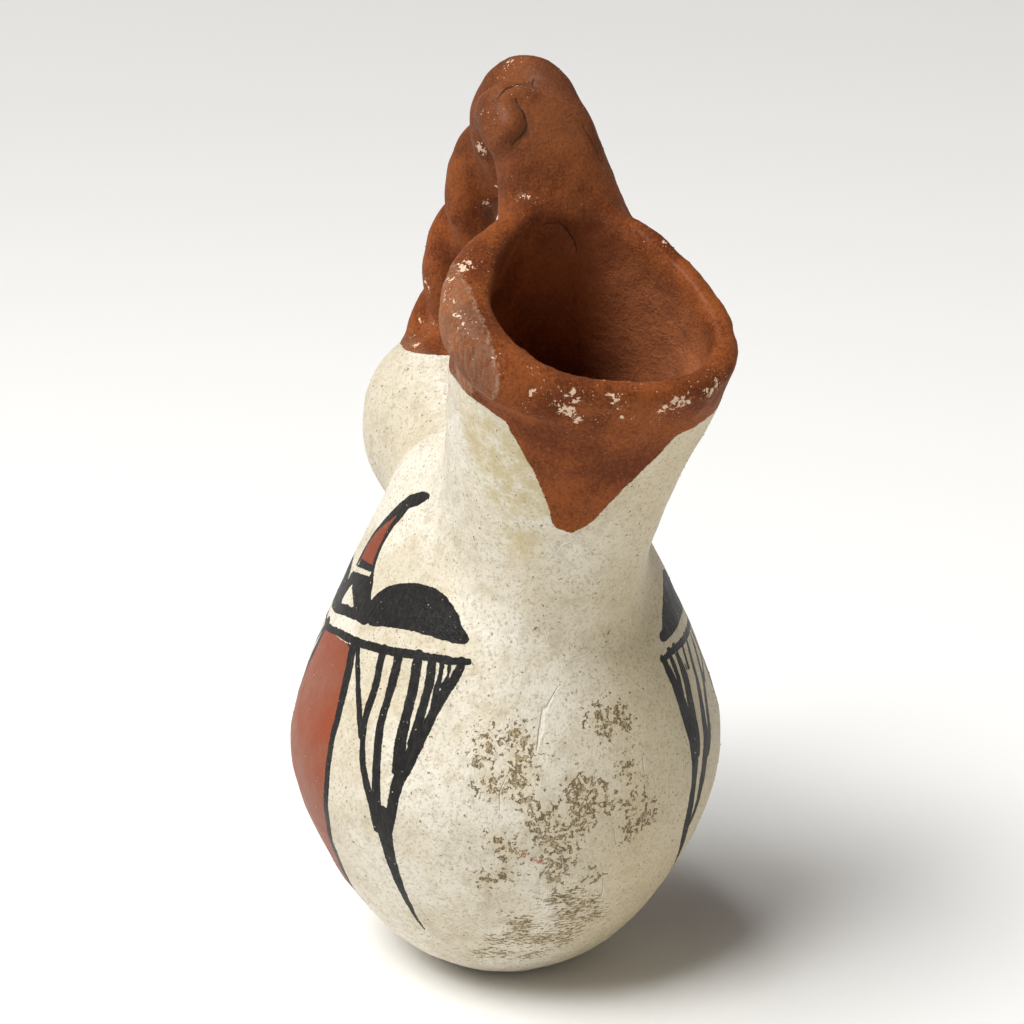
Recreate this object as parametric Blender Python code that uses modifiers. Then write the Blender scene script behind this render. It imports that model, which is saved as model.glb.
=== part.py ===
"""Bird effigy pot: a hand-built clay pot, hollow, with a pear-shaped body, a flared spout at one end,
a closed bird's head at the other, and a two-strand twisted handle from the spout's rim to the crown.

Metres, +Z up. The origin is the centre of the flat underside. -Y is the spout end, +Y the head end.
"""

import math

import bmesh
import bpy
from mathutils import Matrix, Vector

# Body: a round pear that draws in to an oval ridge under the spout and the head
FOOT_RADIUS = 0.013
FOOT_SPARE = 0.0012
BELLY_RADIUS = 0.0385
BELLY_HEIGHT = 0.041
BOWL_ROUNDNESS = 1.5
SHOULDER_EASE = 1.3
RIDGE_HEIGHT = 0.084
RIDGE_HALF_WIDTH = 0.0195
RIDGE_HALF_LENGTH = 0.0235
RIDGE_OFFSET = 0.002
SADDLE_HEIGHT = 0.097

# Spout: a horn that rises from the front of the body, leans out and flares to a tilted mouth
HORN_FOOT_OFFSET = -0.0133
HORN_FOOT_HEIGHT = 0.070
HORN_BEND_OFFSET = -0.0175
HORN_BEND_HEIGHT = 0.100
NECK_HALF_WIDTH = 0.0158
NECK_HALF_LENGTH = 0.0188
FLARE_EASE = 1.5
MOUTH_SHIFT = -0.0008
MOUTH_OFFSET = -0.0345
MOUTH_HEIGHT = 0.1232
MOUTH_TILT = math.radians(39)
MOUTH_TURN = math.radians(8)
MOUTH_HALF_WIDTH = 0.0218
MOUTH_HALF_LENGTH = 0.0222
MOUTH_WAVE = 0.065
MOUTH_WAVE_TURN = math.radians(-44)
HORN_SPARE = 0.3
MOUTH_CUT_TILT = math.radians(35)
MOUTH_CUT_RISE = 0.0015

# Lip roll: the lip is folded outwards on the -X side of the mouth and rubbed down into a soft roll
LIP_ROLL_RADIUS = 0.0042
LIP_ROLL_DROP = 0.0026
LIP_ROLL_INSET = 0.0012
LIP_ROLL_START = math.radians(115)
LIP_ROLL_END = math.radians(245)

# Head: an upright egg with a short beak that looks away from the spout
HEAD_OFFSET = 0.0315
HEAD_HEIGHT = 0.0885
HEAD_HALF_WIDTH = 0.0162
HEAD_HALF_LENGTH = 0.0168
HEAD_HALF_HEIGHT = 0.0184
BEAK_LENGTH = 0.0085
BEAK_BASE_RADIUS = 0.0088
BEAK_TIP_RADIUS = 0.0026
BEAK_DROOP = math.radians(14)

# Handle: an arch of two strands, side by side at the spout and twisted on the way to the crown
ARCH_ROOT_OFFSET = -0.0145
ARCH_ROOT_HEIGHT = 0.129
ARCH_RISE_OFFSET = -0.012
ARCH_RISE_HEIGHT = 0.1744
ARCH_FALL_OFFSET = 0.024
ARCH_FALL_HEIGHT = 0.134
ARCH_END_OFFSET = 0.037
ARCH_END_HEIGHT = 0.101
ARCH_SHIFT = 0.0
ARCH_SWAY = 0.0015
STRAND_RADIUS = 0.0048
STRAND_END_RADIUS = 0.0041
STRAND_CLOSENESS = 0.86
TWIST_START = 0.26
TWIST_TURNS = -2.0
TWIST_EASE = 1.15
ROOT_REACH = 0.24
ROOT_HALF_WIDTH = 0.0125
ROOT_HALF_DEPTH = 0.005
ROOT_FAN = 0.22
ROOT_TAIL = 0.012
ROOT_TAIL_TURN = math.radians(21)

# Clay walls, and the lean of all above the belly towards +X for each metre of height
WALL = 0.0041
LEAN = 0.024

# Mesh fineness
RING_STEPS = 40
ROLL_STEPS = 20
BODY_STEPS = 30
HORN_STEPS = 16
ARCH_STEPS = 60
ROOT_STEPS = 8
BEAK_STEPS = 10
BLEND_VOXEL = 0.0016
BLEND_ROUNDS = 60
SKIN_VOXEL = 0.001
SKIN_ROUNDS = 8
TRIANGLE_TARGET = 9360


def new_collection(name):
    made = bpy.data.collections.new(name)
    bpy.context.scene.collection.children.link(made)
    return made


def add_mesh(name, bm, collection):
    """Turn a bmesh into an object whose faces look outwards."""
    bmesh.ops.recalc_face_normals(bm, faces=bm.faces)
    mesh = bpy.data.meshes.new(name)
    bm.to_mesh(mesh)
    bm.free()
    made = bpy.data.objects.new(name, mesh)
    collection.objects.link(made)
    return made


def oval_point(angle, half_width, half_length, wave=0):
    """A point of a flat oval that is pulled out a little at three places by the wave."""
    flat = Vector((half_width * math.cos(angle), half_length * math.sin(angle), 0))
    return flat * (1 + wave * math.cos(3 * (angle - MOUTH_WAVE_TURN)))


def oval_ring(centre, half_width, half_length, tip=Matrix.Identity(3), wave=0):
    """Points round an oval, tipped and set at a centre."""
    angles = [math.tau * step / RING_STEPS for step in range(RING_STEPS)]
    return [centre + tip @ oval_point(angle, half_width, half_length, wave) for angle in angles]


def loft(name, rings, collection):
    """A closed skin through rings of equal point counts, with a face across each end."""
    bm = bmesh.new()
    loops = [[bm.verts.new(point) for point in ring] for ring in rings]
    count = len(rings[0])
    for lower, upper in zip(loops, loops[1:]):
        for i in range(count):
            j = (i + 1) % count
            bm.faces.new((lower[i], lower[j], upper[j], upper[i]))
    bm.faces.new(loops[0])
    bm.faces.new(loops[-1])
    return add_mesh(name, bm, collection)


def body_ring(height):
    """The body's oval at a height: bowl below the belly, shoulder above, a dome over the ridge."""
    if height <= BELLY_HEIGHT:
        rise = max(height / BELLY_HEIGHT, 0)
        share = (1 - (1 - rise) ** BOWL_ROUNDNESS) ** (1 / BOWL_ROUNDNESS)
        radius = FOOT_RADIUS + (BELLY_RADIUS - FOOT_RADIUS) * share
        return oval_ring(Vector((0, 0, height)), radius, radius)
    rise = (height - BELLY_HEIGHT) / (RIDGE_HEIGHT - BELLY_HEIGHT)
    share = min(rise, 1) ** SHOULDER_EASE
    half_width = BELLY_RADIUS + (RIDGE_HALF_WIDTH - BELLY_RADIUS) * share
    half_length = BELLY_RADIUS + (RIDGE_HALF_LENGTH - BELLY_RADIUS) * share
    if height > RIDGE_HEIGHT:
        climb = (height - RIDGE_HEIGHT) / (SADDLE_HEIGHT - RIDGE_HEIGHT)
        dome = math.sqrt(max(1 - climb**2, 0.01))
        half_width *= dome
        half_length *= dome
    return oval_ring(Vector((0, RIDGE_OFFSET * share, height)), half_width, half_length)


def make_body(collection):
    """The pear, with a little spare clay under the foot that is cut level at the end."""
    rings = [body_ring(-FOOT_SPARE)]
    for step in range(BODY_STEPS + 1):
        rings.append(body_ring(SADDLE_HEIGHT * step / BODY_STEPS))
    return loft("body_form", rings, collection)


def horn_point(share):
    """A point on the horn's curved axis."""
    foot = Vector((0, HORN_FOOT_OFFSET, HORN_FOOT_HEIGHT))
    bend = Vector((0, HORN_BEND_OFFSET, HORN_BEND_HEIGHT))
    mouth = Vector((MOUTH_SHIFT, MOUTH_OFFSET, MOUTH_HEIGHT))
    return foot * (1 - share) ** 2 + bend * 2 * share * (1 - share) + mouth * share**2


def mouth_tip(share):
    """The turn of the horn's rings: they tilt forward and swing to +X on the way to the mouth."""
    return Matrix.Rotation(MOUTH_TURN * share, 3, "Z") @ Matrix.Rotation(MOUTH_TILT * share, 3, "X")


def horn_ring(share):
    """An oval of the horn: it swells from the neck, then stands upright near the mouth."""
    flare = math.sin(math.pi / 2 * min(share, 1) ** FLARE_EASE)
    half_width = NECK_HALF_WIDTH + (MOUTH_HALF_WIDTH - NECK_HALF_WIDTH) * flare
    half_length = NECK_HALF_LENGTH + (MOUTH_HALF_LENGTH - NECK_HALF_LENGTH) * flare
    wave = MOUTH_WAVE * flare
    return oval_ring(horn_point(share), half_width, half_length, mouth_tip(share), wave)


def make_horn(collection):
    rings = [horn_ring((1 + HORN_SPARE) * step / HORN_STEPS) for step in range(HORN_STEPS + 1)]
    return loft("horn_form", rings, collection)


def make_lip_roll(collection):
    """A roll of clay along one side of the lip, thin at both ends, on the outside of the wall."""
    rings = []
    for step in range(ROLL_STEPS + 1):
        share = step / ROLL_STEPS
        angle = LIP_ROLL_START + (LIP_ROLL_END - LIP_ROLL_START) * share
        rim = oval_point(angle, MOUTH_HALF_WIDTH, MOUTH_HALF_LENGTH, MOUTH_WAVE)
        outward = rim.normalized()
        centre = rim - outward * LIP_ROLL_INSET - Vector((0, 0, LIP_ROLL_DROP))
        radius = LIP_ROLL_RADIUS * max(math.sin(math.pi * share), 0.05) ** 0.6
        ring = []
        for corner in range(RING_STEPS):
            turn = math.tau * corner / RING_STEPS
            offset = outward * radius * math.cos(turn) + Vector((0, 0, radius * math.sin(turn)))
            ring.append(horn_point(1) + mouth_tip(1) @ (centre + offset))
        rings.append(ring)
    return loft("lip_roll", rings, collection)


def make_head(collection):
    bm = bmesh.new()
    bmesh.ops.create_uvsphere(bm, u_segments=RING_STEPS, v_segments=RING_STEPS // 2, radius=1)
    size = Matrix.Diagonal((HEAD_HALF_WIDTH, HEAD_HALF_LENGTH, HEAD_HALF_HEIGHT, 1))
    place = Matrix.Translation((0, HEAD_OFFSET, HEAD_HEIGHT))
    bmesh.ops.transform(bm, matrix=place @ size, verts=bm.verts)
    return add_mesh("head_form", bm, collection)


def make_beak(collection):
    """A short blunt beak on the far side of the head, wide where it leaves the face."""
    aim = Matrix.Rotation(-math.pi / 2 - BEAK_DROOP, 3, "X")
    centre = Vector((0, HEAD_OFFSET, HEAD_HEIGHT))
    start = HEAD_HALF_LENGTH * 0.6
    reach = HEAD_HALF_LENGTH + BEAK_LENGTH - start
    rings = []
    for step in range(BEAK_STEPS + 1):
        share = step / BEAK_STEPS
        radius = BEAK_TIP_RADIUS + (BEAK_BASE_RADIUS - BEAK_TIP_RADIUS) * (1 - share) ** 1.3
        radius *= math.sqrt(1 - (0.96 * share) ** 8)
        along = centre + aim @ Vector((0, 0, start + reach * share))
        rings.append(oval_ring(along, radius, radius, aim))
    return loft("beak_form", rings, collection)


def arch_frame(share):
    """A point on the handle's arch and the direction square to it in the plane of symmetry."""
    root = Vector((0, ARCH_ROOT_OFFSET, ARCH_ROOT_HEIGHT))
    rise = Vector((0, ARCH_RISE_OFFSET, ARCH_RISE_HEIGHT))
    fall = Vector((0, ARCH_FALL_OFFSET, ARCH_FALL_HEIGHT))
    end = Vector((0, ARCH_END_OFFSET, ARCH_END_HEIGHT))
    back = 1 - share
    point = root * back**3 + rise * 3 * share * back**2 + fall * 3 * share**2 * back + end * share**3
    along = (rise - root) * back**2 + (fall - rise) * 2 * share * back + (end - fall) * share**2
    along.normalize()
    point.x = ARCH_SHIFT + ARCH_SWAY * math.cos(math.pi * min(share / TWIST_START, 2))
    return point, along.cross(Vector((1, 0, 0)))


def flat_ring(point, square, half_width, half_depth, fan):
    """An oval across the handle, its width along X and drawn out by the fan on the +X side."""
    ring = []
    for corner in range(RING_STEPS):
        turn = math.tau * corner / RING_STEPS
        across = Vector((half_width * math.cos(turn), 0, 0))
        if across.x > 0:
            across.x *= 1 + fan
        ring.append(point + across + square * half_depth * math.sin(turn))
    return ring


def make_root(collection):
    """The handle's pressed root: it fans out over the spout's back rim and thins away below it."""
    rings = []
    base, square = arch_frame(0)
    down = Vector((0, math.sin(ROOT_TAIL_TURN), -math.cos(ROOT_TAIL_TURN)))
    for step in range(ROOT_STEPS, 0, -1):
        share = step / ROOT_STEPS
        half_width = ROOT_HALF_WIDTH * (1 - 0.55 * share**2)
        half_depth = ROOT_HALF_DEPTH * (1 - 0.85 * share)
        rings.append(flat_ring(base + down * ROOT_TAIL * share, square, half_width, half_depth, ROOT_FAN))
    for step in range(ROOT_STEPS + 1):
        share = step / ROOT_STEPS
        point, square = arch_frame(ROOT_REACH * share)
        half_width = ROOT_HALF_WIDTH + (STRAND_RADIUS * 1.75 - ROOT_HALF_WIDTH) * share**0.35
        fan = ROOT_FAN * (1 - share) ** 4
        rings.append(flat_ring(point, square, half_width, ROOT_HALF_DEPTH, fan))
    return loft("handle_root", rings, collection)


def make_strand(name, phase, collection):
    """One strand, a tube that circles the arch and grows thinner towards the crown."""
    side = Vector((1, 0, 0))
    line = bpy.data.curves.new(name, "CURVE")
    line.dimensions = "3D"
    line.bevel_depth = 1
    line.bevel_resolution = 4
    line.use_fill_caps = True
    spline = line.splines.new("POLY")
    spline.points.add(ARCH_STEPS)
    for step, knot in enumerate(spline.points):
        share = step / ARCH_STEPS
        point, square = arch_frame(share)
        twist = max(share - TWIST_START, 0) / (1 - TWIST_START)
        angle = phase + math.tau * TWIST_TURNS * twist**TWIST_EASE
        radius = STRAND_RADIUS + (STRAND_END_RADIUS - STRAND_RADIUS) * min(twist * 3.5, 1)
        radius *= min(0.7 + 3 * share, 1)
        reach = radius * STRAND_CLOSENESS
        centre = point + side * reach * math.cos(angle) + square * reach * math.sin(angle)
        knot.co = (*centre, 1)
        knot.radius = radius
    tube = bpy.data.objects.new(name + "_line", line)
    collection.objects.link(tube)
    bm = bmesh.new()
    bm.from_mesh(bpy.data.meshes.new_from_object(tube.evaluated_get(bpy.context.evaluated_depsgraph_get())))
    bmesh.ops.remove_doubles(bm, verts=bm.verts, dist=0.00001)
    bpy.data.objects.remove(tube)
    return reskin(add_mesh(name, bm, collection), SKIN_VOXEL, 1)


def boolean(target, tool, operation):
    step = target.modifiers.new(operation.lower(), "BOOLEAN")
    step.operation = operation
    step.solver = "EXACT"
    step.object = tool


def applied(target):
    """Bake an object's modifiers into its mesh."""
    graph = bpy.context.evaluated_depsgraph_get()
    mesh = bpy.data.meshes.new_from_object(target.evaluated_get(graph))
    target.modifiers.clear()
    target.data = mesh
    return target


def reskin(target, voxel, rounds):
    """Wrap an object in one even skin and rub its junctions smooth."""
    skin = target.modifiers.new("skin", "REMESH")
    skin.mode = "VOXEL"
    skin.voxel_size = voxel
    rub = target.modifiers.new("rub", "SMOOTH")
    rub.factor = 0.5
    rub.iterations = rounds
    return applied(target)


def shrunk_copy(source, name, depth, collection):
    """A copy whose skin lies the given depth inside the source, with its floor as thick above the ground."""
    made = bpy.data.objects.new(name, source.data.copy())
    collection.objects.link(made)
    moves = [vertex.normal * depth for vertex in made.data.vertices]
    for vertex, move in zip(made.data.vertices, moves):
        vertex.co -= move
        vertex.co.z = max(vertex.co.z, depth)
    return made


def make_mouth_trimmer(collection):
    """A block over the tilted mouth that takes off the horn's spare length."""
    bm = bmesh.new()
    bmesh.ops.create_cube(bm, size=1)
    size = Matrix.Diagonal((MOUTH_HALF_WIDTH * 4, MOUTH_HALF_LENGTH * 4, MOUTH_HALF_WIDTH * 2, 1))
    lift = Matrix.Translation((0, 0, MOUTH_HALF_WIDTH + MOUTH_CUT_RISE))
    cut = Matrix.Rotation(MOUTH_TURN, 4, "Z") @ Matrix.Rotation(MOUTH_CUT_TILT, 4, "X")
    place = Matrix.Translation((MOUTH_SHIFT, MOUTH_OFFSET, MOUTH_HEIGHT)) @ cut
    bmesh.ops.transform(bm, matrix=place @ lift @ size, verts=bm.verts)
    return add_mesh("mouth_trimmer", bm, collection)


def make_foot_trimmer(collection):
    """A block under the ground plane that cuts the foot flat."""
    bm = bmesh.new()
    bmesh.ops.create_cube(bm, size=BELLY_RADIUS * 2)
    bmesh.ops.translate(bm, verts=bm.verts, vec=(0, 0, -BELLY_RADIUS))
    return add_mesh("foot_trimmer", bm, collection)


def make_material():
    clay = bpy.data.materials.new("slipped_clay")
    clay.use_nodes = True
    shader = clay.node_tree.nodes["Principled BSDF"]
    shader.inputs["Base Color"].default_value = (0.72, 0.66, 0.56, 1)
    shader.inputs["Roughness"].default_value = 0.4
    return clay


def build():
    for old in list(bpy.data.objects):
        bpy.data.objects.remove(old)
    parts = new_collection("bird_effigy_pot")
    tools = new_collection("cutters")

    pot = make_body(parts)
    pot.name = "bird_effigy_pot"
    for form in (make_horn(tools), make_head(tools)):
        boolean(pot, form, "UNION")
    reskin(pot, BLEND_VOXEL, BLEND_ROUNDS)
    hollow = shrunk_copy(pot, "hollow", WALL, tools)
    boolean(pot, make_mouth_trimmer(tools), "DIFFERENCE")
    boolean(pot, make_lip_roll(tools), "UNION")
    boolean(pot, make_root(tools), "UNION")
    boolean(pot, make_strand("strand_left", math.pi, tools), "UNION")
    boolean(pot, make_strand("strand_right", 0, tools), "UNION")
    boolean(pot, make_beak(tools), "UNION")
    boolean(pot, hollow, "DIFFERENCE")
    applied(pot)
    reskin(pot, SKIN_VOXEL, SKIN_ROUNDS)
    for vertex in pot.data.vertices:
        vertex.co.x += LEAN * max(vertex.co.z - BELLY_HEIGHT, 0)

    thin = pot.modifiers.new("thin", "DECIMATE")
    triangles = sum(len(face.vertices) - 2 for face in pot.data.polygons)
    thin.ratio = min(TRIANGLE_TARGET / triangles, 1)
    thin.use_collapse_triangulate = True
    applied(pot)
    boolean(pot, make_foot_trimmer(tools), "DIFFERENCE")
    applied(pot)

    pot.data.shade_smooth()
    pot.data.materials.clear()
    pot.data.materials.append(make_material())
    for form in tools.objects:
        form.hide_render = True
        form.display_type = "WIRE"


build()
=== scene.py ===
"""A hand-built bird effigy pot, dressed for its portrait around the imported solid.

White-slipped pear body with painted feather panels, red-brown slip on the flared spout and on the
twisted handle, worn and stained by use. Metres, +Z up, -Y towards the spout.
"""

import math

import bmesh
import bpy
import numpy as np
from mathutils import Matrix, Vector, noise
from mathutils.bvhtree import BVHTree
from mathutils.kdtree import KDTree


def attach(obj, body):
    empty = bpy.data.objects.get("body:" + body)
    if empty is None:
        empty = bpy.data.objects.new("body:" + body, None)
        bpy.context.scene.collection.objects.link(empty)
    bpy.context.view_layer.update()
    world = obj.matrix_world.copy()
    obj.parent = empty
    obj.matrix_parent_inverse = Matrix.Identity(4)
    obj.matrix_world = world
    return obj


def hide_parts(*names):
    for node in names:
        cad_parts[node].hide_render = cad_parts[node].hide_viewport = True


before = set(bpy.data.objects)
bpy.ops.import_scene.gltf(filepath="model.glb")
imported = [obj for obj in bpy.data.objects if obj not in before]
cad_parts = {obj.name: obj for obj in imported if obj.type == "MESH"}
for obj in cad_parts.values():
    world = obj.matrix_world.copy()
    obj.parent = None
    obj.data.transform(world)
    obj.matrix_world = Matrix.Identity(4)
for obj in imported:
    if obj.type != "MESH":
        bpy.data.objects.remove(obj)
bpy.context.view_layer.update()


# The pot's wall is one piece of low-fired clay, built up by hand from coils and pinched to shape,
# scraped smooth while damp and rubbed with a stone, so it is even to the eye but never quite true.
# Its hidden inside is left coarser, because no eye or light gets there.
WALL_GRID = 0.00078
WALL_ROUNDS = 22
KEPT_SHARE = 0.74


def evaluated_mesh(obj):
    depsgraph = bpy.context.evaluated_depsgraph_get()
    return bpy.data.meshes.new_from_object(obj.evaluated_get(depsgraph))


def vertex_array(mesh, field="co"):
    flat = np.empty(len(mesh.vertices) * 3)
    mesh.vertices.foreach_get(field, flat)
    return flat.reshape(-1, 3)


def links_of(mesh):
    flat = np.empty(len(mesh.edges) * 2, dtype=np.int64)
    mesh.edges.foreach_get("vertices", flat)
    return flat.reshape(-1, 2)


def neighbours_mean(values, links, count):
    a, b = links[:, 0], links[:, 1]
    total = np.stack([np.bincount(a, values[b, k], count) + np.bincount(b, values[a, k], count)
                      for k in range(values.shape[1])], axis=1)
    degree = np.bincount(a, minlength=count) + np.bincount(b, minlength=count)
    return total / np.maximum(degree, 1)[:, None]


def settled(points, links, rounds):
    """Smooths out facets in pairs of steps, in and out, so that the form keeps its size."""
    for _ in range(rounds):
        for step in (0.5, -0.52):
            points = points + step * (neighbours_mean(points, links, len(points)) - points)
    return points


pot_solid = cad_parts["bird_effigy_pot"]
welded = bmesh.new()
welded.from_mesh(pot_solid.data)
bmesh.ops.remove_doubles(welded, verts=welded.verts, dist=1e-6)
solid_tree = BVHTree.FromBMesh(welded)

# A face of the solid is hidden when no straight line leaves it for the open air
ways_out = [Vector((x, y, z)).normalized() for x in (-1, 0, 1) for y in (-1, 0, 1) for z in (-1, 0, 1)
            if (x, y, z) != (0, 0, 0)]
hidden_faces = []
welded.faces.ensure_lookup_table()
for face in welded.faces:
    start = face.calc_center_median() + face.normal * 0.0004
    outward = [way for way in ways_out if way.dot(face.normal) > 0.1]
    hidden_faces.append(all(solid_tree.ray_cast(start, way)[0] is not None for way in outward))

pot_mesh = bpy.data.meshes.new("pot_wall")
welded.to_mesh(pot_mesh)
welded.free()
pot = bpy.data.objects.new("pot_wall", pot_mesh)
bpy.context.scene.collection.objects.link(pot)
grid = pot.modifiers.new("grid", "REMESH")
grid.mode = "VOXEL"
grid.voxel_size = WALL_GRID
pot.data = evaluated_mesh(pot)
pot.modifiers.clear()

wall = vertex_array(pot.data)
wall = settled(wall, links_of(pot.data), WALL_ROUNDS)
pot.data.vertices.foreach_set("co", wall.ravel())
pot.data.update()

hidden = pot.vertex_groups.new(name="hidden")
for vertex in pot.data.vertices:
    index = solid_tree.find_nearest(vertex.co)[2]
    if index is not None and hidden_faces[index]:
        hidden.add([vertex.index], 1.0, "REPLACE")
thin_out = pot.modifiers.new("thin_out", "DECIMATE")
thin_out.vertex_group = "hidden"
thin_out.ratio = KEPT_SHARE
pot.data = evaluated_mesh(pot)
pot.modifiers.clear()
pot.vertex_groups.clear()

wall = vertex_array(pot.data)
normal = vertex_array(pot.data, "normal")
links = links_of(pot.data)


# Low relief that the fingers left: shallow dents, the folded-over end of one strand by the rim with
# its creases, a drying crack inside the mouth, and a lip that is nowhere quite level.
# Each dent or lump is a centre, a radius and a depth or rise, in millimetres.
DENTS = (
    ((-7.3, -33.2, 55.1), 5.0, 0.35), ((13.0, -27.0, 68.5), 6.0, 0.4), ((-8.0, -32.6, 86.1), 5.5, 0.4),
    ((2.0, -37.5, 44.0), 9.0, 0.3), ((-24.0, -24.0, 36.0), 11.0, 0.3), ((25.0, -22.0, 46.0), 9.0, 0.3),
    ((-30.0, 14.0, 50.0), 10.0, 0.3), ((22.0, 26.0, 40.0), 12.0, 0.35))
LUMPS = (
    ((-6.0, -12.2, 147.5), 5.6, 1.2), ((-1.6, -9.4, 152.6), 4.6, 0.8), ((5.0, -16.0, 141.0), 6.0, 0.3),
    ((-19.5, -38.5, 120.0), 5.0, 0.35), ((-16.0, -30.0, 130.0), 5.0, 0.3),
    ((9.0, -49.0, 112.0), 6.0, 0.3))
CREASES = (
    ((-3.0, -12.0, 150.4), (-2.4, -13.2, 149.2), (-2.1, -14.2, 148.0), (-2.4, -14.9, 146.7),
        (-3.5, -15.1, 145.8), (-4.4, -14.9, 145.1)),
    ((-6.6, -9.2, 150.3), (-5.3, -9.7, 151.3), (-3.5, -9.2, 152.2), (-1.5, -8.4, 153.0),
        (0.6, -7.6, 153.2), (1.6, -7.5, 152.8)),
    ((-0.4, -18.5, 132.3), (1.8, -18.1, 132.4), (3.4, -17.2, 130.9), (4.8, -16.5, 129.4),
        (5.8, -15.8, 127.6)),
    ((7.3, -14.9, 146.5), (8.0, -15.4, 145.2), (8.8, -15.8, 143.6), (9.4, -16.2, 141.9)))
CREASE_DEPTHS = (0.85, 0.8, 0.45, 0.3)
ROLLED_OVER = (
    ((4.0, -19.5, 132.0), 8.0, 1.0), ((16.6, -28.0, 126.6), 3.4, 0.15), ((18.4, -33.7, 123.6), 3.4, 0.15))
SMEARED_ROUNDS = 60
WAVES = ((0.16, 7), (0.2, 17), (0.07, 4.2))
RIM_WAVE = (0.2, 3.4)
RIM_FOOT = 98
FOOT_HEIGHT = 0.03


def offset_from(points, path):
    """The vector to each point from the nearest point of a polyline, all in millimetres."""
    best = np.full(points.shape, 1e4)
    for a, b in zip(path, path[1:]):
        a, b = np.array(a), np.array(b)
        share = np.clip(((points - a) @ (b - a)) / ((b - a) @ (b - a)), 0, 1)
        offset = points - a - share[:, None] * (b - a)
        nearer = np.linalg.norm(offset, axis=1) < np.linalg.norm(best, axis=1)
        best[nearer] = offset[nearer]
    return best


def gap_to(centre):
    """How far each vertex lies from a place on the pot, in millimetres."""
    return np.linalg.norm(wall_mm - np.array(centre), axis=1)


def waves(height, reach):
    """Low waves all over the wall: their height and about how far apart they are, in millimetres."""
    return np.array([height * noise.noise(Vector(p) / reach) for p in wall_mm])


wall_mm = wall * 1000
relief = np.zeros(len(wall))
for centre, radius, depth in DENTS:
    relief -= depth * np.exp(-(gap_to(centre) / radius) ** 2)
for centre, radius, rise in LUMPS:
    share = np.clip(1 - gap_to(centre) / radius, 0, 0.6) / 0.6
    relief += rise * share ** 2 * (3 - 2 * share)
for path, depth in zip(CREASES, CREASE_DEPTHS):
    gap = np.linalg.norm(offset_from(wall_mm, path), axis=1)
    relief -= depth * np.exp(-(gap / 0.8) ** 2)
relief += sum(waves(*wave) for wave in WAVES)
relief += np.clip((wall_mm[:, 2] - RIM_FOOT) / 6, 0, 1) * waves(*RIM_WAVE)

# At the back of the mouth the handle's root is smeared over the rim, so no edge is left there
soft = np.max([share * np.exp(-(gap_to(centre) / reach) ** 4) for centre, reach, share in ROLLED_OVER],
              axis=0)[:, None]
for _ in range(SMEARED_ROUNDS):
    wall_mm = wall_mm + 0.5 * soft * (neighbours_mean(wall_mm, links, len(wall)) - wall_mm)
wall_mm = wall_mm + relief[:, None] * normal
wall_mm[:, 2] = np.maximum(wall_mm[:, 2], FOOT_HEIGHT)
wall = wall_mm / 1000
pot.data.vertices.foreach_set("co", wall.ravel())
pot.data.update()
normal = vertex_array(pot.data, "normal")
wall_tree = BVHTree.FromPolygons([v.co for v in pot.data.vertices],
                                 [tuple(p.vertices) for p in pot.data.polygons])
print("pot wall:", sum(len(face.vertices) - 2 for face in pot.data.polygons), "triangles")


# The painting on the belly: on each side a feather panel, brushed by eye with a chewed yucca brush in
# a black that soaks into the slip, round a red-brown leaf. Points are the angle in degrees from the
# spout's side, the height and, for a stroke, its width in millimetres.
LEFT_BLACK = {
    "dome": (
        (80.4, 68.7), (78.9, 70.5), (74.2, 72.3), (67.7, 73.5), (59.9, 74.3), (52.4, 74.4), (46.4, 73.9),
        (41.7, 72.7), (38.6, 71.2), (36.3, 69.6), (34.3, 68.5), (33.8, 67.8), (34.6, 67.2), (36.8, 67.1),
        (41.5, 67.2), (46.5, 67.4), (53.1, 67.5), (60.3, 67.4), (68.0, 66.9), (76.0, 66.3)),
    "knot": (
        (79.0, 68.9), (82.0, 70.4), (84.6, 72.3), (88.0, 73.4), (91.8, 73.6), (101.5, 73.0),
        (105.3, 71.7), (107.4, 69.9), (105.9, 68.2), (109.0, 66.6), (120.0, 65.6), (119.0, 63.6),
        (107.0, 63.7), (93.9, 65.0), (85.0, 65.7), (76.7, 66.2)),
}
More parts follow.
